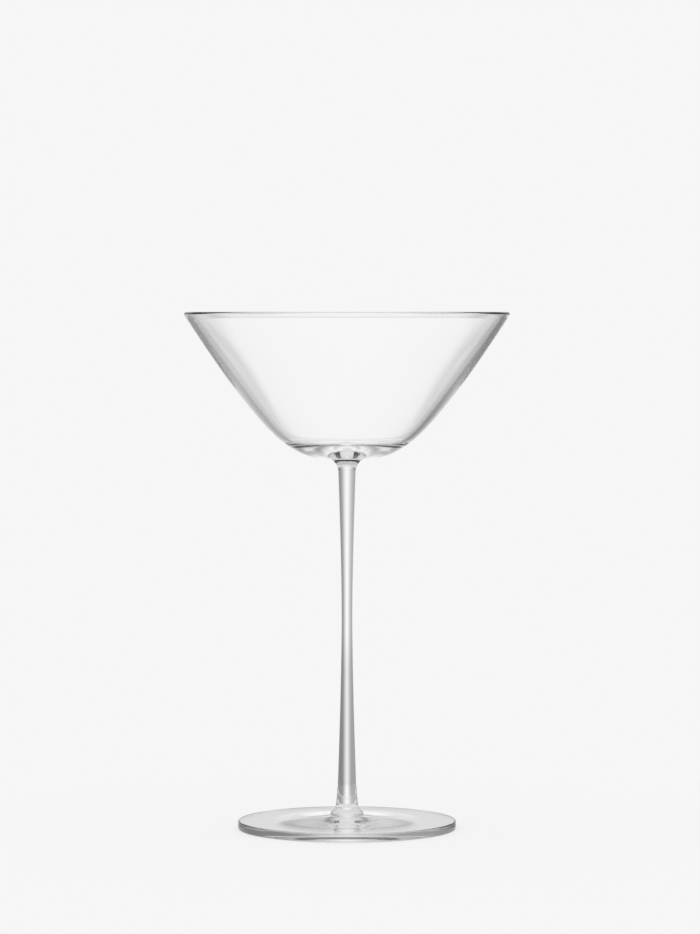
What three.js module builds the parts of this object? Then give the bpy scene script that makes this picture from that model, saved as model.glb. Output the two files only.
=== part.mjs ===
// A stemmed cocktail glass of three gathers of clear glass: a blown bowl, a drawn stem and a spun foot.
// Each is welded hot to the next, so the pieces seat on each other at flat, round weld faces.
// Millimetres, +Z up. The origin is on the table, at the centre of the foot.
import * as THREE from "three";

// Bowl
const RIM_DIAMETER = 113.3; // outside, at the lip
const BOWL_HEIGHT = 50.75; // from the flat underside to the top of the lip
const RIM_LEAN = 32.8; // degrees that the outside leans out from upright at the lip
const OUTSIDE_FULLNESS = 0.966; // share of the height over which that lean pulls on the outside
const BASE_FLAT_DIAMETER = 13; // flat underside around the button
const BASE_TURN = 10.1; // how far the underside runs on outwards before it turns up into the wall
const RIM_WALL = 1.48; // thickness of the glass at the lip
const BASE_WALL = 3.95; // thickness of the glass in the middle of the floor
const INSIDE_LEAN = 34.5; // degrees that the inside leans out from upright at the lip
const INSIDE_FULLNESS = 0.5; // share of the depth over which that lean pulls on the inside
const FLOOR_DIAMETER = 36.8; // where the dished floor inside ends and the wall begins
const FLOOR_SLOPE = 6.6; // degrees from level at which the floor ends
const FLOOR_MIDDLE_DIAMETER = 3.5; // where that slope would reach the lowest level
const FLOOR_TURN = 4.1; // how far the floor's slope runs on before it turns up into the wall
const LIP_CROWN = 0.25; // height of the fire-polished round on the lip
const BUTTON_HEIGHT = 2.5; // button of glass under the bowl, down to the weld
const BUTTON_LEAN = 36; // degrees from upright at which the button leaves the weld

// Stem, from the foot upwards
const FOOT_WELD_DIAMETER = 11.5; // weld face on the foot
const BEAD_HEIGHT = 1.75; // bead of glass that rolls out round that weld
const SHOULDER_DIAMETER = 11; // where the lower trumpet runs out into the bead
const SHOULDER_LEAN = 54; // degrees from upright at the shoulder
const FOOT_FLARE_HEIGHT = 8.5; // trumpet above the bead
const ANKLE_DIAMETER = 6.5; // where the lower trumpet begins
const LOWER_TAPER = 58.5; // from the ankle up to the waist
const WAIST_DIAMETER = 3.8; // thinnest place
const UPPER_TAPER = 51.5; // from the waist up to the neck
const NECK_DIAMETER = 6.15; // where the upper trumpet begins
const BOWL_FLARE_HEIGHT = 1.75; // trumpet below the weld under the bowl
const BOWL_WELD_DIAMETER = 7; // weld face under the bowl's button
const BOWL_WELD_LEAN = 15; // degrees from upright at which the stem ends at that weld
const TAPER_BEND = 0.35; // share of a taper that stays close to the waist's width

// Foot
const FOOT_DIAMETER = 76;
const FOOT_EDGE = 3; // thickness at the edge
const FOOT_EDGE_ROUND = 0.5; // radius of the edge's two corners
const FOOT_HEIGHT = 4.75; // from the table to the weld face
const RISE_DIAMETER = 56; // where the level top begins to rise to the stem

// Facets round each piece, and steps along each curve
const BOWL_FACETS = 72;
const STEM_FACETS = 40;
const FOOT_FACETS = 72;
const WALL_STEPS = 20;
const FLOOR_STEPS = 8;
const LIP_STEPS = 4;
const BUTTON_STEPS = 5;
const BEAD_STEPS = 6;
const TAPER_STEPS = 8;
const FLARE_STEPS = 8;
const CORNER_STEPS = 4;
const RISE_STEPS = 8;

const STEM_LENGTH = BEAD_HEIGHT + FOOT_FLARE_HEIGHT + LOWER_TAPER + UPPER_TAPER + BOWL_FLARE_HEIGHT;

// A point of an outline, as its distance from the axis and its height.
const at = (radius, height) => new THREE.Vector2(radius, height);

const line = (from, to) => [from, to];
const bend = (from, pull, to, steps) => new THREE.QuadraticBezierCurve(from, pull, to).getPoints(steps);
const slope = (degrees) => Math.tan(THREE.MathUtils.degToRad(degrees));

// Joins runs of points end to end, with each shared end once.
const joined = (...runs) => runs.flatMap((run, i) => (i ? run.slice(1) : run));

// Turns an outline, which runs from the axis round the outside to the axis again, into a solid of glass.
function blank(name, outline, facets, material) {
  const geometry = new THREE.LatheGeometry(outline, facets);
  geometry.rotateX(Math.PI / 2);
  const mesh = new THREE.Mesh(geometry, material);
  mesh.name = name;
  return mesh;
}

const glass = (color, roughness) =>
  new THREE.MeshStandardMaterial({ color, roughness, metalness: 0, transparent: true, opacity: 0.35 });

// One face of the bowl's wall: it runs on from the bottom for a little, then up to the lip in one sweep.
function wallSweep(bottom, run, lip, lean, fullness) {
  const pullDown = fullness * (lip.y - bottom.y);
  const lipPull = at(lip.x - pullDown * slope(lean), lip.y - pullDown);
  return new THREE.CubicBezierCurve(bottom, bottom.clone().add(run), lipPull, lip).getPoints(WALL_STEPS);
}

// The bowl: a button, a flat underside, the outside up to the lip, and the inside down to a dished floor.
function bowl() {
  const rim = RIM_DIAMETER / 2;
  const weld = at(BOWL_WELD_DIAMETER / 2, -BUTTON_HEIGHT);
  const lipWidth = RIM_WALL / Math.cos(THREE.MathUtils.degToRad(RIM_LEAN));
  const lipStart = BOWL_HEIGHT - LIP_CROWN;
  const outside = wallSweep(
    at(BASE_FLAT_DIAMETER / 2, 0), at(BASE_TURN, 0), at(rim, lipStart), RIM_LEAN, OUTSIDE_FULLNESS,
  );
  const floorPull = at(FLOOR_MIDDLE_DIAMETER / 2, BASE_WALL);
  const floorReach = FLOOR_DIAMETER / 2 - floorPull.x;
  const floorEnd = at(FLOOR_DIAMETER / 2, BASE_WALL + floorReach * slope(FLOOR_SLOPE));
  const floorRun = at(FLOOR_TURN, 0).rotateAround(at(0, 0), THREE.MathUtils.degToRad(FLOOR_SLOPE));
  const inside = wallSweep(floorEnd, floorRun, at(rim - lipWidth, lipStart), INSIDE_LEAN, INSIDE_FULLNESS);
  const lip = new THREE.EllipseCurve(rim - lipWidth / 2, lipStart, lipWidth / 2, LIP_CROWN, 0, Math.PI);
  const buttonPull = at(weld.x + BUTTON_HEIGHT * slope(BUTTON_LEAN), 0);
  const outline = joined(
    line(at(0, weld.y), weld),
    bend(weld, buttonPull, outside[0], BUTTON_STEPS),
    outside,
    lip.getPoints(LIP_STEPS),
    inside.reverse(),
    bend(floorEnd, floorPull, at(0, BASE_WALL), FLOOR_STEPS),
  );
  return blank("bowl", outline, BOWL_FACETS, glass(0xf3f5f5, 0.02));
}

// One end of the stem, from the mouth of its trumpet to the waist, with heights measured from the mouth.
function stemEnd(mouthDiameter, mouthLean, flareHeight, throatDiameter, taper) {
  const mouth = at(mouthDiameter / 2, 0);
  const throat = at(throatDiameter / 2, flareHeight);
  const waist = at(WAIST_DIAMETER / 2, flareHeight + taper);
  const taperPull = at(WAIST_DIAMETER / 2, waist.y - TAPER_BEND * taper);
  // The trumpet leaves the throat in line with the taper, and leans out to the mouth's lean.
  const lean = (throat.x - taperPull.x) / (taperPull.y - throat.y);
  const meeting = (mouth.x - throat.x - slope(mouthLean) * flareHeight) / (lean - slope(mouthLean));
  const drop = THREE.MathUtils.clamp(meeting, 0, flareHeight);
  const flarePull = at(throat.x + lean * drop, throat.y - drop);
  return joined(
    bend(mouth, flarePull, throat, FLARE_STEPS),
    bend(throat, taperPull, waist, TAPER_STEPS),
  );
}

// The stem: two trumpets that taper to one waist, and a bead that rolls out under the lower one.
function stem() {
  const weld = at(FOOT_WELD_DIAMETER / 2, 0);
  const lower = stemEnd(SHOULDER_DIAMETER, SHOULDER_LEAN, FOOT_FLARE_HEIGHT, ANKLE_DIAMETER, LOWER_TAPER)
    .map((point) => at(point.x, BEAD_HEIGHT + point.y));
  const shoulder = lower[0];
  const beadPull = at(shoulder.x + slope(SHOULDER_LEAN) * BEAD_HEIGHT / 2, BEAD_HEIGHT / 2);
  const upper = stemEnd(BOWL_WELD_DIAMETER, BOWL_WELD_LEAN, BOWL_FLARE_HEIGHT, NECK_DIAMETER, UPPER_TAPER)
    .map((point) => at(point.x, STEM_LENGTH - point.y))
    .reverse();
  const outline = joined(
    line(at(0, 0), weld),
    bend(weld, beadPull, shoulder, BEAD_STEPS),
    lower,
    upper,
    line(upper[upper.length - 1], at(0, STEM_LENGTH)),
  );
  return blank("stem", outline, STEM_FACETS, glass(0xf1f3f3, 0.03));
}

// The foot: a level disc with a nearly square edge, which rises to the weld in its middle.
function foot() {
  const edge = FOOT_DIAMETER / 2;
  const inner = edge - FOOT_EDGE_ROUND;
  const weld = at(FOOT_WELD_DIAMETER / 2, FOOT_HEIGHT);
  const rise = at(RISE_DIAMETER / 2, FOOT_EDGE);
  const quarter = Math.PI / 2;
  const corner = (height, start) =>
    new THREE.EllipseCurve(inner, height, FOOT_EDGE_ROUND, FOOT_EDGE_ROUND, start, start + quarter)
      .getPoints(CORNER_STEPS);
  const lower = corner(FOOT_EDGE_ROUND, -quarter);
  const upper = corner(FOOT_EDGE - FOOT_EDGE_ROUND, 0);
  const outline = joined(
    line(at(0, 0), lower[0]),
    lower,
    line(lower[CORNER_STEPS], upper[0]),
    upper,
    line(upper[CORNER_STEPS], rise),
    bend(rise, at((rise.x + weld.x) / 2, FOOT_EDGE), weld, RISE_STEPS),
    line(weld, at(0, FOOT_HEIGHT)),
  );
  return blank("foot", outline, FOOT_FACETS, glass(0xeff1f1, 0.03));
}

const cocktailGlass = new THREE.Group();
cocktailGlass.name = "cocktail_glass";

const footPiece = foot();
const stemPiece = stem();
const bowlPiece = bowl();
stemPiece.position.z = FOOT_HEIGHT;
bowlPiece.position.z = FOOT_HEIGHT + STEM_LENGTH + BUTTON_HEIGHT;
cocktailGlass.add(footPiece, stemPiece, bowlPiece);

export default cocktailGlass;
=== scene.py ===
import logging
import math
from abc import ABC, abstractmethod
from dataclasses import dataclass
from enum import Enum
from typing import ClassVar

import bmesh
import bpy
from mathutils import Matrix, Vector
from mathutils.geometry import interpolate_bezier


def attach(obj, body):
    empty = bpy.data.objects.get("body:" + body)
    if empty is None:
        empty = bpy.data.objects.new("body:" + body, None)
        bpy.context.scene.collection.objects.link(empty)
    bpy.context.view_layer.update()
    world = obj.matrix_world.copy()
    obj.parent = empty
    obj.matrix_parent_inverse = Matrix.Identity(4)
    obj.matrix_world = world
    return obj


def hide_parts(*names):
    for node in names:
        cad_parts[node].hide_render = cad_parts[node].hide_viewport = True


# A stemmed cocktail glass: a blown bowl, a drawn stem and a spun foot of clear glass, in a soft pale studio.

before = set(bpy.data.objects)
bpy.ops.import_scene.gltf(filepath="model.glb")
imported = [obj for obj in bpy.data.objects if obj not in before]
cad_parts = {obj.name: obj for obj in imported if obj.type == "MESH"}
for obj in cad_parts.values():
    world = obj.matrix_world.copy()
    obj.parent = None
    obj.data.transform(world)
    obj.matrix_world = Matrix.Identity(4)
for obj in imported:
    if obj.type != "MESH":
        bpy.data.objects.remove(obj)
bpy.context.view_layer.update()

log = logging.getLogger("cocktail_glass")

# The pieces' sizes are in millimetres, and Blender's lengths are in metres.
MM = 0.001
# A cubic curve stands for a quarter of a circle when its handles reach this share of the way to the corner.
QUARTER_ARC = 0.5523
# It stands for a curve with a single pull when they reach this share of the way to the pull.
ONE_PULL = 2.0 / 3.0
# Two fused pieces keep this much air between them, in millimetres, so that their faces never coincide.
WELD_GAP = 0.004
# The plain tone behind the glass, which the floor runs into.
BACKDROP_TONE = 0.9216

Socket = bpy.types.NodeSocket
Value = float | Socket
Range = tuple[float, float]
Colour = tuple[float, float, float, float]

WHITE: Colour = (1.0, 1.0, 1.0, 1.0)


class NodeNet:
    """Adds and links the nodes of one material or world."""

    def __init__(self, tree: bpy.types.NodeTree) -> None:
        """Empties the node tree that is to be filled."""
        self.tree = tree
        tree.nodes.clear()

    def add(self, kind: str, **settings: object) -> bpy.types.Node:
        """Adds a node.

        Args:
            kind: The node's type, without its prefix.
            **settings: Properties of the node to set.

        Returns:
            The new node.
        """
        node = self.tree.nodes.new("ShaderNode" + kind)
        for name, value in settings.items():
            setattr(node, name, value)
        return node

    def feed(self, socket: Socket, value: object) -> None:
        """Links an output to a socket, or sets the socket to a plain value.

        Args:
            socket: The input to feed.
            value: The output to link, or the plain value.
        """
        if isinstance(value, Socket):
            self.tree.links.new(value, socket)
        else:
            socket.default_value = value

    def math(self, operation: str, *values: Value) -> Socket:
        """Works out one number from others.

        Args:
            operation: The Math node's operation.
            *values: Its inputs, in order.

        Returns:
            The result's socket.
        """
        node = self.add("Math", operation=operation)
        for socket, value in zip(node.inputs, values):
            self.feed(socket, value)
        return node.outputs[0]

    def fade(
        self, value: Socket, low: float, high: float, at_low: Value = 0.0, at_high: Value = 1.0
    ) -> Socket:
        """Runs smoothly from one number to another.

        Args:
            value: What drives it.
            low: Where it starts to change.
            high: Where it stops changing.
            at_low: The result at and below low.
            at_high: The result at and above high.

        Returns:
            The result's socket.
        """
        node = self.add("MapRange", interpolation_type="SMOOTHSTEP")
        names = ("Value", "From Min", "From Max", "To Min", "To Max")
        for name, given in zip(names, (value, low, high, at_low, at_high)):
            self.feed(node.inputs[name], given)
        return node.outputs[0]

    def mix(self, share: Value, first: Value, second: Value) -> Socket:
        """Mixes two numbers.

        Args:
            share: The share of the second number.
            first: The first number.
            second: The second number.

        Returns:
            The result's socket.
        """
        node = self.add("Mix", data_type="FLOAT")
        for name, given in zip(("Factor", "A", "B"), (share, first, second)):
            self.feed(node.inputs[name], given)
        return node.outputs["Result"]

    def bell(self, value: Socket, width: Value) -> Socket:
        """Returns a bell curve's socket: 1 at zero, and about a third at its width."""
        share = self.math("DIVIDE", value, width)
        return self.math("EXPONENT", self.math("MULTIPLY", self.math("MULTIPLY", share, share), -1.0))

    def length(self, vector: Socket) -> Socket:
        """Measures a vector.

        Args:
            vector: The vector's socket.

        Returns:
            The socket of its length.
        """
        node = self.add("VectorMath", operation="LENGTH")
        self.feed(node.inputs[0], vector)
        return node.outputs["Value"]

    def blend(self, share: Value, first: Socket, second: Socket) -> Socket:
        """Mixes two shaders.

        Args:
            share: The share of the second shader.
            first: The first shader.
            second: The second shader.

        Returns:
            The mixed shader's socket.
        """
        node = self.add("MixShader")
        for socket, given in zip(node.inputs, (share, first, second)):
            self.feed(socket, given)
        return node.outputs[0]


class Working(Enum):
    """How a gather of glass was worked, which leaves its own faint ripples in the surface."""

    BLOWN = "soft waves all over"
    DRAWN = "streaks along the axis"
    SPUN = "rings round the axis"


@dataclass(frozen=True)
class ClearGlass:
    """Clear glass with the ripples of its working, and the grey of a deep look through it.

    Attributes:
        name: The material's name.
        working: How the gather was worked.
        ripple: The width of one ripple, in millimetres.
        depth: The height of the ripples, in millimetres.
        polish: The lowest and highest roughness of the fire-polished surface.
        density: How much light the glass takes up, per metre.
    """

    name: str
    working: Working
    ripple: float
    depth: float
    polish: Range
    density: float = 1.5

    REFRACTIVE_INDEX: ClassVar[float] = 1.5
    FAINT_GREY: ClassVar[Colour] = (0.99, 0.99, 0.99, 1.0)
    BLACK: ClassVar[Colour] = (0.0, 0.0, 0.0, 1.0)
    RIPPLE_DETAIL: ClassVar[float] = 1.0
    # How often drawn ripples come along the axis, as a share of how often they come across it.
    STREAK_STRETCH: ClassVar[float] = 0.03
    # Clouds of tint and polish: their width in millimetres, and the noise where they begin and are full.
    CLOUD_SIZE: ClassVar[float] = 30.0
    CLOUD_EDGES: ClassVar[Range] = (0.3, 0.7)
    # The face attribute that is 1 on a weld face and 0 elsewhere.
    WELD_MARK: ClassVar[str] = "weld"

    def ripples(self, net: NodeNet, place: Socket) -> Socket:
        """Makes the height of the ripples.

        Args:
            net: The material's nodes.
            place: Object coordinates, in metres.

        Returns:
            A height from 0 to 1.
        """
        noise = net.add("TexNoise")
        net.feed(noise.inputs["Scale"], 1.0 / (self.ripple * MM))
        net.feed(noise.inputs["Detail"], self.RIPPLE_DETAIL)
        if self.working is Working.SPUN:
            parts = net.add("SeparateXYZ")
            net.feed(parts.inputs[0], place)
            level = net.add("CombineXYZ")
            net.feed(level.inputs[0], parts.outputs[0])
            net.feed(level.inputs[1], parts.outputs[1])
            noise.noise_dimensions = "1D"
            net.feed(noise.inputs["W"], net.length(level.outputs[0]))
        else:
            stretch = net.add("Mapping")
            net.feed(stretch.inputs["Vector"], place)
            along = self.STREAK_STRETCH if self.working is Working.DRAWN else 1.0
            net.feed(stretch.inputs["Scale"], (1.0, 1.0, along))
            net.feed(noise.inputs["Vector"], stretch.outputs[0])
        return noise.outputs["Fac"]

    def material(self) -> bpy.types.Material:
        """Makes the material.

        Returns:
            Glass whose weld faces, marked by an attribute, let light straight through.
        """
        material = bpy.data.materials.new(self.name)
        material.use_nodes = True
        net = NodeNet(material.node_tree)
        place = net.add("TexCoord").outputs["Object"]

        cloud = net.add("TexNoise")
        net.feed(cloud.inputs["Vector"], place)
        net.feed(cloud.inputs["Scale"], 1.0 / (self.CLOUD_SIZE * MM))
        tint = net.add("Mix", data_type="RGBA")
        net.feed(tint.inputs["Factor"], cloud.outputs["Fac"])
        net.feed(tint.inputs["A"], WHITE)
        net.feed(tint.inputs["B"], self.FAINT_GREY)

        bump = net.add("Bump")
        net.feed(bump.inputs["Height"], self.ripples(net, place))
        net.feed(bump.inputs["Strength"], 1.0)
        net.feed(bump.inputs["Distance"], self.depth * MM)

        roughness = net.fade(cloud.outputs["Fac"], *self.CLOUD_EDGES, *self.polish)
        glass = net.add("BsdfPrincipled")
        net.feed(glass.inputs["Base Color"], tint.outputs["Result"])
        net.feed(glass.inputs["Roughness"], roughness)
        net.feed(glass.inputs["IOR"], self.REFRACTIVE_INDEX)
        net.feed(glass.inputs["Transmission Weight"], 1.0)
        net.feed(glass.inputs["Normal"], bump.outputs["Normal"])

        fused = net.add("BsdfTransparent")
        mark = net.add("Attribute", attribute_name=self.WELD_MARK)
        surface = net.blend(mark.outputs["Fac"], glass.outputs[0], fused.outputs[0])
        taken = net.add("VolumeAbsorption")
        net.feed(taken.inputs["Color"], self.BLACK)
        net.feed(taken.inputs["Density"], self.density)

        output = net.add("OutputMaterial")
        net.feed(output.inputs["Surface"], surface)
        net.feed(output.inputs["Volume"], taken.outputs[0])
        return material


class Outline:
    """Half a section through a round piece: it runs from the axis, round the outside, to the axis again."""

    def __init__(self, height: float) -> None:
        """Starts on the axis, at a height in millimetres."""
        self.points = [self.at(0.0, height)]

    @staticmethod
    def at(radius: float, height: float) -> Vector:
        """Returns a point of the section, in millimetres."""
        return Vector((radius, 0.0, height))

    def line(self, radius: float, height: float, spans: int) -> None:
        """Runs straight to a point, with shorter spans close to both ends.

        Args:
            radius: The point's distance from the axis.
            height: The point's height.
            spans: How many spans the line is cut into.
        """
        start = self.points[-1]
        end = self.at(radius, height)
        for i in range(1, spans + 1):
            self.points.append(start.lerp(end, (1.0 - math.cos(math.pi * i / spans)) / 2.0))

    def sweep(self, pull_from: Vector, pull_to: Vector, end: Vector, spans: int) -> None:
        """Runs to an end along a cubic curve with a handle at each end, cut into spans."""
        self.points += interpolate_bezier(self.points[-1], pull_from, pull_to, end, spans + 1)[1:]

    def bend(self, pull: Vector, end: Vector, spans: int, tightness: float = ONE_PULL) -> None:
        """Runs to an end round a pull, with handles that reach a share of the way to it, cut into spans."""
        start = self.points[-1]
        self.sweep(start.lerp(pull, tightness), end.lerp(pull, tightness), end, spans)

    def lift(self, height: float) -> None:
        """Lifts all the points, by millimetres."""
        self.points = [point + Vector((0.0, 0.0, height)) for point in self.points]


@dataclass
class GlassPiece(ABC):
    """A solid of glass that is round about the glass's axis, and fused to its neighbours.

    All sizes of a piece are in millimetres.

    Attributes:
        foot_height: From the table to the weld on the foot.
        stem_length: From weld to weld.
        button_height: From the weld under the bowl to the bowl's flat underside.
        foot_weld: Diameter of the weld on the foot.
        bowl_weld: Diameter of the weld under the bowl.
    """

    foot_height: float = 4.75
    stem_length: float = 122.0
    button_height: float = 2.5
    foot_weld: float = 11.5
    bowl_weld: float = 7.0

    NODE: ClassVar[str]
    FACETS: ClassVar[int] = 256
    WELD_SPANS: ClassVar[int] = 6
    # Metres: points this close are one, and a face this close to the height of a weld belongs to it.
    MERGE_WITHIN: ClassVar[float] = 1e-7
    LEVEL_WITHIN: ClassVar[float] = 1e-6

    @abstractmethod
    def outline(self) -> Outline:
        """Returns the piece's section, where it stands in the glass."""

    @abstractmethod
    def welds(self) -> list[float]:
        """Returns the heights of the piece's weld faces."""

    @abstractmethod
    def finish(self) -> ClearGlass:
        """Returns the piece's glass."""

    def mark_welds(self, solid: bmesh.types.BMesh) -> None:
        """Marks the weld faces, which stay flat, and makes all the others smooth.

        Args:
            solid: The piece's solid.
        """
        mark = solid.faces.layers.float.new(ClearGlass.WELD_MARK)
        for face in solid.faces:
            middle = face.calc_center_median().z
            fused = any(abs(middle - height * MM) < self.LEVEL_WITHIN for height in self.welds())
            face.smooth = not fused
            face[mark] = float(fused)
        for edge in solid.edges:
            edge.smooth = len({face[mark] for face in edge.link_faces}) == 1

    def mesh(self) -> bpy.types.Mesh:
        """Spins the section into a closed solid.

        Returns:
            The mesh, with its weld faces marked.
        """
        solid = bmesh.new()
        points = [solid.verts.new(point * MM) for point in self.outline().points]
        edges = [solid.edges.new(pair) for pair in zip(points, points[1:])]
        bmesh.ops.spin(
            solid, geom=points + edges, cent=(0, 0, 0), axis=(0, 0, 1), dvec=(0, 0, 0),
            angle=math.tau, steps=self.FACETS, use_merge=True, use_duplicate=False,
        )
        bmesh.ops.remove_doubles(solid, verts=solid.verts[:], dist=self.MERGE_WITHIN)
        bmesh.ops.recalc_face_normals(solid, faces=solid.faces[:])
        self.mark_welds(solid)
        mesh = bpy.data.meshes.new(self.NODE)
        solid.to_mesh(mesh)
        solid.free()
        return mesh

    def build(self) -> bpy.types.Object:
        """Makes the piece, dresses it and puts it in the place of its solid.

        Returns:
            The piece.
        """
        piece = bpy.data.objects.new(self.NODE + "_glass", self.mesh())
        bpy.context.scene.collection.objects.link(piece)
        piece.data.materials.append(self.finish().material())
        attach(piece, "root")
        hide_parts(self.NODE)
        log.info("%s: %d faces", piece.name, len(piece.data.polygons))
        return piece


@dataclass
class Bowl(GlassPiece):
    """The blown bowl, with the button that the stem is welded to.

    Attributes:
        rim_diameter: Outside, at the lip.
        height: From the flat underside to the top of the lip.
        rim_lean: Degrees that the outside leans out at the lip.
        outside_fullness: Share of the height over which that lean pulls on the outside.
        button_lean: Degrees from upright at which the button leaves the weld.
        base_flat: Diameter of the flat underside.
        base_turn: How far the underside runs on before it turns up.
        rim_wall: Thickness at the lip.
        base_wall: Thickness in the middle, over the flat underside.
        inside_lean: Degrees that the inside leans out at the lip.
        inside_fullness: Share of the depth over which that lean pulls on the inside.
        floor_diameter: Where the dished floor inside turns up into the wall.
        floor_slope: Degrees from level at which the floor reaches the turn.
        floor_middle: Diameter where that slope would reach the lowest level.
        floor_turn: How far the floor runs on before it turns up.
        lip_crown: Height of the round on the lip.
    """

    rim_diameter: float = 113.3
    height: float = 50.75
    rim_lean: float = 32.8
    outside_fullness: float = 0.966
    button_lean: float = 36.0
    base_flat: float = 13.0
    base_turn: float = 10.1
    rim_wall: float = 1.48
    base_wall: float = 3.95
    inside_lean: float = 34.5
    inside_fullness: float = 0.5
    floor_diameter: float = 36.8
    floor_slope: float = 6.6
    floor_middle: float = 3.5
    floor_turn: float = 4.1
    lip_crown: float = 0.9

    NODE: ClassVar[str] = "bowl"
    WALL_SPANS: ClassVar[int] = 100
    FLOOR_SPANS: ClassVar[int] = 40
    BUTTON_SPANS: ClassVar[int] = 24
    LIP_SPANS: ClassVar[int] = 6

    def bottom(self) -> float:
        """Returns the height of the flat underside."""
        return self.foot_height + self.stem_length + self.button_height

    def welds(self) -> list[float]:
        """Returns the height of the weld under the button."""
        return [self.bottom() - self.button_height + WELD_GAP]

    @staticmethod
    def pull_at_lip(lip: Vector, bottom: float, lean: float, fullness: float) -> Vector:
        """Returns the handle that leans a face of the wall, from its bottom up, out at the lip."""
        drop = fullness * (lip.z - bottom)
        return Outline.at(lip.x - drop * math.tan(math.radians(lean)), lip.z - drop)

    def outline(self) -> Outline:
        """Draws the section.

        Returns:
            The button, the outside, the lip, the inside and the floor.
        """
        at = Outline.at
        lip_height = self.height - self.lip_crown
        lip_width = self.rim_wall / math.cos(math.radians(self.rim_lean))
        outer_lip = at(self.rim_diameter / 2, lip_height)
        inner_lip = at(self.rim_diameter / 2 - lip_width, lip_height)
        crown = at(self.rim_diameter / 2 - lip_width / 2, self.height)
        flat = at(self.base_flat / 2, 0.0)
        slope = math.radians(self.floor_slope)
        dish_pull = at(self.floor_middle / 2, self.base_wall)
        reach = self.floor_diameter / 2 - dish_pull.x
        turn = at(self.floor_diameter / 2, self.base_wall + reach * math.tan(slope))
        weld = at(self.bowl_weld / 2, WELD_GAP - self.button_height)
        button_pull = at(weld.x + self.button_height * math.tan(math.radians(self.button_lean)), 0.0)

        section = Outline(weld.z)
        section.line(weld.x, weld.z, self.WELD_SPANS)
        section.bend(button_pull, flat, self.BUTTON_SPANS)
        section.sweep(
            at(flat.x + self.base_turn, 0.0),
            self.pull_at_lip(outer_lip, 0.0, self.rim_lean, self.outside_fullness),
            outer_lip, self.WALL_SPANS,
        )
        section.bend(at(outer_lip.x, crown.z), crown, self.LIP_SPANS, QUARTER_ARC)
        section.bend(at(inner_lip.x, crown.z), inner_lip, self.LIP_SPANS, QUARTER_ARC)
        section.sweep(
            self.pull_at_lip(inner_lip, turn.z, self.inside_lean, self.inside_fullness),
            turn + at(math.cos(slope), math.sin(slope)) * self.floor_turn,
            turn, self.WALL_SPANS,
        )
        section.bend(dish_pull, at(0.0, self.base_wall), self.FLOOR_SPANS)
        section.lift(self.bottom())
        return section

    def finish(self) -> ClearGlass:
        """Returns blown glass with soft waves."""
        return ClearGlass(
            name="bowl_clear_glass", working=Working.BLOWN, ripple=14.0, depth=0.004, polish=(0.0, 0.004)
        )


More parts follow.
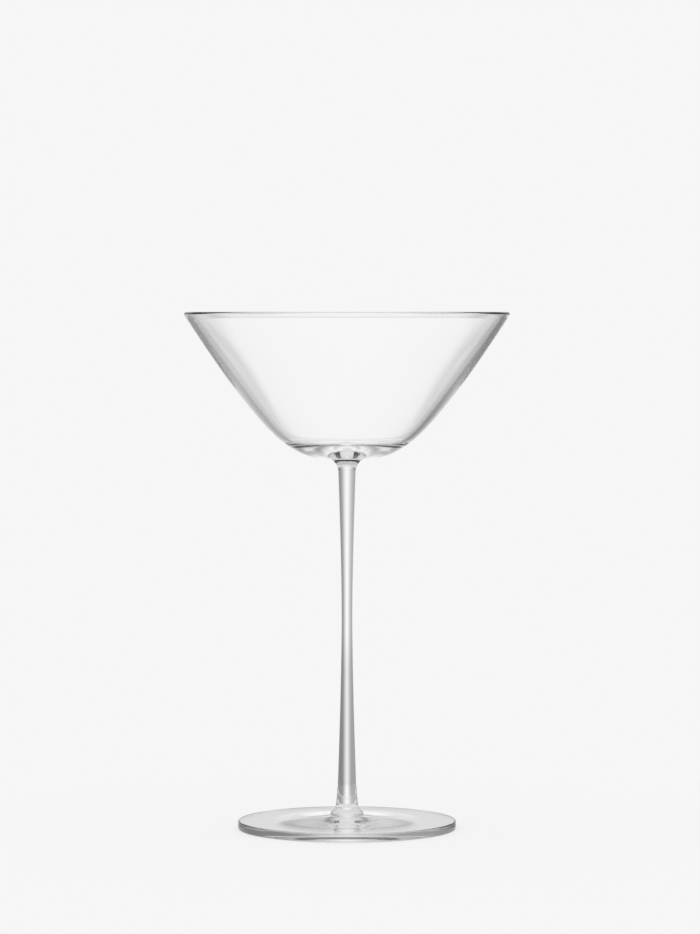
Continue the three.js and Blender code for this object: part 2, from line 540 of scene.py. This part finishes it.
@dataclass
class Stem(GlassPiece):
    """The drawn stem: a waisted rod with a trumpet at each end, and a bead round the weld on the foot.

    Attributes:
        bead_height: Height of the bead.
        shoulder: Diameter where the lower trumpet runs out into the bead.
        knee: Diameter where the lower trumpet turns out to the shoulder.
        knee_height: From the shoulder up to the knee.
        knee_round: How far above the knee its rounding ends.
        knee_lean: Degrees from upright at which the trumpet comes down to the knee.
        foot_flare: Height of the lower trumpet above the bead.
        ankle: Diameter where the lower trumpet begins.
        lower_taper: From the ankle up to the waist.
        waist: The smallest diameter.
        upper_taper: From the waist up to the neck. The upper trumpet takes the rest of the length.
        neck: Diameter where the upper trumpet begins.
        bowl_weld_lean: Degrees from upright at which the upper trumpet meets the bowl.
        taper_bend: Share of a taper that stays close to the waist's width.
    """

    bead_height: float = 1.0
    shoulder: float = 11.2
    knee: float = 7.9
    knee_height: float = 1.95
    knee_round: float = 0.7
    knee_lean: float = 5.5
    foot_flare: float = 9.25
    ankle: float = 6.5
    lower_taper: float = 58.5
    waist: float = 3.8
    upper_taper: float = 51.5
    neck: float = 6.15
    bowl_weld_lean: float = 15.0
    taper_bend: float = 0.35

    NODE: ClassVar[str] = "stem"
    FACETS: ClassVar[int] = 192
    BEAD_SPANS: ClassVar[int] = 24
    KNEE_SPANS: ClassVar[int] = 32
    FLARE_SPANS: ClassVar[int] = 48
    TAPER_SPANS: ClassVar[int] = 40

    def welds(self) -> list[float]:
        """Returns the heights of the welds on the foot and under the bowl."""
        return [self.foot_height + WELD_GAP, self.foot_height + self.stem_length]

    def pulls(self, mouth: Vector, lean: float, throat: Vector, waist: Vector) -> tuple[Vector, Vector]:
        """Finds what one end of the stem bends round.

        Args:
            mouth: The wide end of the trumpet.
            lean: Degrees from upright at which the trumpet comes to its mouth.
            throat: Where the trumpet ends and the taper begins.
            waist: Where the taper ends.

        Returns:
            The pull of the trumpet and the pull of the taper.
        """
        taper = throat.lerp(waist, 1.0 - self.taper_bend)
        taper.x = waist.x
        narrowing = (throat.x - taper.x) / abs(taper.z - throat.z)
        spread = math.tan(math.radians(lean))
        rise = abs(throat.z - mouth.z)
        # The trumpet bends round the point where the line of the taper meets the lean at the mouth.
        drop = (mouth.x - throat.x - spread * rise) / (narrowing - spread)
        trumpet = throat.lerp(mouth, drop / rise)
        trumpet.x = throat.x + narrowing * drop
        return trumpet, taper

    def outline(self) -> Outline:
        """Draws the section.

        Returns:
            The bead, the knee, the lower trumpet, the two tapers and the upper trumpet.
        """
        at = Outline.at
        foot_weld = at(self.foot_weld / 2, WELD_GAP)
        shoulder = at(self.shoulder / 2, self.bead_height)
        knee = at(self.knee / 2, shoulder.z + self.knee_height)
        # The bead bends round a point halfway down it, in line with the knee and the shoulder.
        bead = shoulder.lerp(knee, -self.bead_height / 2 / self.knee_height)
        shin = knee + at(-math.tan(math.radians(self.knee_lean)), 1.0) * self.knee_round
        ankle = at(self.ankle / 2, self.bead_height + self.foot_flare)
        waist = at(self.waist / 2, ankle.z + self.lower_taper)
        neck = at(self.neck / 2, waist.z + self.upper_taper)
        bowl_weld = at(self.bowl_weld / 2, self.stem_length)
        low_trumpet, low_taper = self.pulls(shin, self.knee_lean, ankle, waist)
        high_trumpet, high_taper = self.pulls(bowl_weld, self.bowl_weld_lean, neck, waist)

        section = Outline(foot_weld.z)
        section.line(foot_weld.x, foot_weld.z, self.WELD_SPANS)
        section.bend(bead, shoulder, self.BEAD_SPANS)
        section.bend(knee, shin, self.KNEE_SPANS)
        section.bend(low_trumpet, ankle, self.FLARE_SPANS)
        section.bend(low_taper, waist, self.TAPER_SPANS)
        section.bend(high_taper, neck, self.TAPER_SPANS)
        section.bend(high_trumpet, bowl_weld, self.FLARE_SPANS)
        section.line(0.0, bowl_weld.z, self.WELD_SPANS)
        section.lift(self.foot_height)
        return section

    def finish(self) -> ClearGlass:
        """Returns drawn glass with streaks along it."""
        return ClearGlass(
            name="stem_clear_glass", working=Working.DRAWN, ripple=1.6, depth=0.002, polish=(0.0, 0.006)
        )


@dataclass
class Foot(GlassPiece):
    """The spun foot: a level disc that rises to the stem in its middle.

    Attributes:
        diameter: Outside.
        edge: Thickness at the edge.
        edge_round: Radius of the edge's two corners.
        rise_diameter: Where the level top begins to rise to the stem.
    """

    diameter: float = 76.0
    edge: float = 3.0
    edge_round: float = 0.5
    rise_diameter: float = 56.0

    NODE: ClassVar[str] = "foot"
    LEVEL_SPANS: ClassVar[int] = 20
    CORNER_SPANS: ClassVar[int] = 10
    EDGE_SPANS: ClassVar[int] = 8
    RISE_SPANS: ClassVar[int] = 60

    def welds(self) -> list[float]:
        """Returns the height of the weld to the stem."""
        return [self.foot_height]

    def outline(self) -> Outline:
        """Draws the section.

        Returns:
            The underside, the edge, the level top, the rise and the weld.
        """
        at = Outline.at
        rim = self.diameter / 2
        inner = rim - self.edge_round
        weld = at(self.foot_weld / 2, self.foot_height)
        rise = at(self.rise_diameter / 2, self.edge)
        rise_pull = at((rise.x + weld.x) / 2, self.edge)

        section = Outline(0.0)
        section.line(inner, 0.0, self.LEVEL_SPANS)
        section.bend(at(rim, 0.0), at(rim, self.edge_round), self.CORNER_SPANS, QUARTER_ARC)
        section.line(rim, self.edge - self.edge_round, self.EDGE_SPANS)
        section.bend(at(rim, self.edge), at(inner, self.edge), self.CORNER_SPANS, QUARTER_ARC)
        section.line(rise.x, rise.z, self.LEVEL_SPANS)
        section.bend(rise_pull, weld, self.RISE_SPANS)
        section.line(0.0, weld.z, self.WELD_SPANS)
        return section

    def finish(self) -> ClearGlass:
        """Returns spun glass with rings round the stem."""
        return ClearGlass(
            name="foot_clear_glass", working=Working.SPUN, ripple=5.0, depth=0.003, polish=(0.0, 0.006)
        )


@dataclass(frozen=True)
class LevelBand:
    """A level band round the studio that keeps back light.

    Attributes:
        fade_in: Where it begins, going up, in degrees above the horizon.
        fade_out: Where it ends.
        passed: The share of the light that passes its middle.
    """

    fade_in: Range
    fade_out: Range
    passed: float

    def share(self, net: NodeNet, height: Socket) -> Socket:
        """Makes the share of the light that passes.

        Args:
            net: The world's nodes.
            height: Degrees above the horizon.

        Returns:
            The share's socket.
        """
        begun = net.fade(height, *self.fade_in)
        going_on = net.fade(height, *self.fade_out, 1.0, 0.0)
        return net.math("MULTIPLY_ADD", net.math("MULTIPLY", begun, going_on), self.passed - 1.0, 1.0)


@dataclass(frozen=True)
class Studio:
    """Soft light all round: pale panels with darker gaps between them, level bands, a ceiling and a ground.

    All this is only seen in the glass, and the gaps are what gives clear glass its grey edges.
    The camera sees a plain backdrop, and what is matt gets plain light.
    Heights are degrees above the horizon.

    Attributes:
        backdrop: The plain tone behind the glass.
        light: The level of the plain light on everything that is matt.
        panel: The tone of the middle of a panel.
        gap_left: The tone between panels on the left.
        gap_right: The tone between panels on the right.
        panel_width: Width of a panel's bell at eye level, in degrees.
        low_width: Width of a panel's bell below the narrowing.
        narrowing: Where a panel goes from low_width to panel_width.
        corner_width: Width of the bell of the low panels that stand in the gaps.
        corner_top: Where those panels end, going up, in front of the glass.
        corner_drop: How much lower they stand behind the glass.
        scrim: The thin grey band below eye level.
        rail: The grey band above eye level.
        flag: The dark band above the rail.
        ceiling: The ceiling's tone.
        ceiling_edge: Where the panels fade into the ceiling.
        ground: The tone far below.
        ground_edge: Where the ground fades into the panels.
    """

    backdrop: float = BACKDROP_TONE
    light: float = 1.0
    panel: float = 0.97
    gap_left: float = 0.39
    gap_right: float = 0.24
    panel_width: float = 22.0
    low_width: float = 12.6
    narrowing: Range = (-10.0, -5.0)
    corner_width: float = 12.4
    corner_top: Range = (-13.5, -10.5)
    corner_drop: float = 4.0
    scrim: LevelBand = LevelBand(fade_in=(-13.0, -9.0), fade_out=(-6.5, -5.0), passed=0.85)
    rail: LevelBand = LevelBand(fade_in=(1.5, 5.0), fade_out=(8.0, 12.0), passed=0.7)
    flag: LevelBand = LevelBand(fade_in=(16.0, 18.0), fade_out=(24.0, 30.0), passed=0.3)
    ceiling: float = 0.75
    ceiling_edge: Range = (24.0, 34.0)
    ground: float = 0.78
    ground_edge: Range = (-40.0, -27.0)

    # Degrees from the middle of a panel to the middle of a gap.
    HALF_GAP: ClassVar[float] = 45.0
    # A direction's X or Y, to either side of zero, over which left fades into right and front into back.
    SIDE_FADE: ClassVar[float] = 0.5

    @staticmethod
    def off_panel(net: NodeNet, across: Socket, along: Socket) -> Socket:
        """Finds how far a direction is from the nearest of the four panels.

        Args:
            net: The world's nodes.
            across: The direction's X.
            along: The direction's Y.

        Returns:
            Degrees, from 0 to 45.
        """
        wide = net.math("ABSOLUTE", across)
        deep = net.math("ABSOLUTE", along)
        near = net.math("MINIMUM", wide, deep)
        far = net.math("MAXIMUM", wide, deep)
        return net.math("DEGREES", net.math("ARCTAN2", near, far))

    def panels(self, net: NodeNet, across: Socket, along: Socket, height: Socket) -> Socket:
        """Makes the tone of the panels and gaps.

        Args:
            net: The world's nodes.
            across: The direction's X.
            along: The direction's Y.
            height: Degrees above the horizon.

        Returns:
            The tone's socket.
        """
        off = self.off_panel(net, across, along)
        width = net.fade(height, *self.narrowing, self.low_width, self.panel_width)
        main = net.bell(off, width)
        drop = net.fade(along, -self.SIDE_FADE, self.SIDE_FADE, 0.0, self.corner_drop)
        corner = net.math(
            "MULTIPLY",
            net.bell(net.math("SUBTRACT", self.HALF_GAP, off), self.corner_width),
            net.fade(net.math("ADD", height, drop), *self.corner_top, 1.0, 0.0),
        )
        gap = net.fade(across, -self.SIDE_FADE, self.SIDE_FADE, self.gap_left, self.gap_right)
        return net.mix(net.math("MAXIMUM", main, corner), gap, self.panel)

    def build(self) -> None:
        """Makes the world."""
        world = bpy.data.worlds.new("studio")
        world.use_nodes = True
        net = NodeNet(world.node_tree)
        parts = net.add("SeparateXYZ")
        net.feed(parts.inputs[0], net.add("TexCoord").outputs["Generated"])
        across, along, up = parts.outputs
        height = net.math("DEGREES", net.math("ARCSINE", up))

        tone = self.panels(net, across, along, height)
        for band in (self.scrim, self.rail, self.flag):
            tone = net.math("MULTIPLY", tone, band.share(net, height))
        tone = net.mix(net.fade(height, *self.ceiling_edge), tone, self.ceiling)
        tone = net.mix(net.fade(height, *self.ground_edge), self.ground, tone)
        paths = net.add("LightPath").outputs
        in_glass = net.math("MAXIMUM", paths["Is Glossy Ray"], paths["Is Transmission Ray"])
        tone = net.mix(in_glass, self.light, tone)

        light = net.add("Background")
        net.feed(light.inputs["Color"], WHITE)
        net.feed(light.inputs["Strength"], net.mix(paths["Is Camera Ray"], tone, self.backdrop))
        net.feed(net.add("OutputWorld").inputs["Surface"], light.outputs[0])
        bpy.context.scene.world = world
        log.info("studio: pale panels round the glass")


@dataclass(frozen=True)
class Floor:
    """The plain pale floor, which keeps the shadow of the glass and runs into the backdrop.

    Attributes:
        half_width: Half the side of the floor, in metres.
        drop: How far the floor lies under the foot, in metres.
        pale: The floor's colour, as a tone.
        backdrop: The tone that it fades into.
        glow: The share of the backdrop's tone close to the glass, which keeps the shadow soft.
        fade: Where it fades, in metres from the glass.
    """

    half_width: float = 3.0
    drop: float = 0.0001
    pale: float = 0.93
    backdrop: float = BACKDROP_TONE
    glow: float = 0.75
    fade: Range = (0.06, 0.2)

    def material(self) -> bpy.types.Material:
        """Makes the floor's material.

        Returns:
            A pale matt floor to the camera, and clear to what looks through the glass at the studio.
        """
        material = bpy.data.materials.new("pale_floor")
        material.use_nodes = True
        net = NodeNet(material.node_tree)
        reach = net.length(net.add("TexCoord").outputs["Object"])
        matt = net.add("BsdfDiffuse")
        net.feed(matt.inputs["Color"], (self.pale, self.pale, self.pale, 1.0))
        far = net.add("Emission")
        net.feed(far.inputs["Color"], WHITE)
        net.feed(far.inputs["Strength"], self.backdrop)
        share = net.fade(reach, *self.fade, self.glow, 1.0)
        ground = net.blend(share, matt.outputs[0], far.outputs[0])
        clear = net.add("BsdfTransparent")
        seen = net.add("LightPath").outputs["Is Camera Ray"]
        net.feed(net.add("OutputMaterial").inputs["Surface"], net.blend(seen, clear.outputs[0], ground))
        return material

    def build(self) -> bpy.types.Object:
        """Makes the floor.

        Returns:
            The floor.
        """
        sheet = bmesh.new()
        bmesh.ops.create_grid(sheet, x_segments=1, y_segments=1, size=self.half_width)
        bmesh.ops.translate(sheet, verts=sheet.verts[:], vec=(0.0, 0.0, -self.drop))
        mesh = bpy.data.meshes.new("floor")
        sheet.to_mesh(mesh)
        sheet.free()
        floor = bpy.data.objects.new("floor", mesh)
        bpy.context.scene.collection.objects.link(floor)
        mesh.materials.append(self.material())
        log.info("floor: plain and pale")
        return floor


@dataclass(frozen=True)
class StudioCamera:
    """The camera, level with the rim and tilted down until the rim is high in the frame.

    Attributes:
        place: Where it stands, in metres, a little to the right of the glass's axis.
        focal_pixels: Focal length in pixels of the frame.
        rim_row: The row of the frame that the rim's line falls on.
        frame_height: Rows of the frame.
        film: Height of the film, in millimetres.
    """

    place: tuple[float, float, float] = (0.00105, -1.370, 0.180)
    focal_pixels: float = 3944.0
    rim_row: float = 311.9
    frame_height: float = 934.0
    film: float = 36.0

    def build(self) -> bpy.types.Object:
        """Makes the camera and gives it to the scene.

        Returns:
            The camera.
        """
        data = bpy.data.cameras.new("camera")
        data.sensor_fit = "VERTICAL"
        data.sensor_height = self.film
        data.lens = self.focal_pixels / self.frame_height * self.film
        camera = bpy.data.objects.new("camera", data)
        tilt = math.atan((self.frame_height / 2 - self.rim_row) / self.focal_pixels)
        camera.location = self.place
        camera.rotation_euler = (math.pi / 2 - tilt, 0.0, 0.0)
        bpy.context.scene.collection.objects.link(camera)
        bpy.context.scene.camera = camera
        log.info("camera: %.0f mm lens", data.lens)
        return camera


@dataclass(frozen=True)
class LightPaths:
    """How often light may turn: it turns many times before it comes out of the foot's far edge.

    Attributes:
        crossings: Turns in all, turns through glass, and passes through clear faces.
        glances: Mirrored turns.
    """

    crossings: int = 24
    glances: int = 16

    def build(self) -> None:
        """Sets the scene's bounces."""
        cycles = bpy.context.scene.cycles
        cycles.max_bounces = self.crossings
        cycles.transmission_bounces = self.crossings
        cycles.transparent_max_bounces = self.crossings
        cycles.glossy_bounces = self.glances
        log.info("light: up to %d turns in the glass", self.crossings)


def main() -> None:
    """Builds the glass, the studio and the camera."""
    logging.basicConfig(level=logging.INFO, format="%(name)s %(message)s")
    for piece in (Foot(), Stem(), Bowl()):
        piece.build()
    for setting in (Studio(), Floor(), StudioCamera(), LightPaths()):
        setting.build()
    bpy.context.scene.view_settings.view_transform = "Standard"
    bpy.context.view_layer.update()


if __name__ == "__main__":
    main()
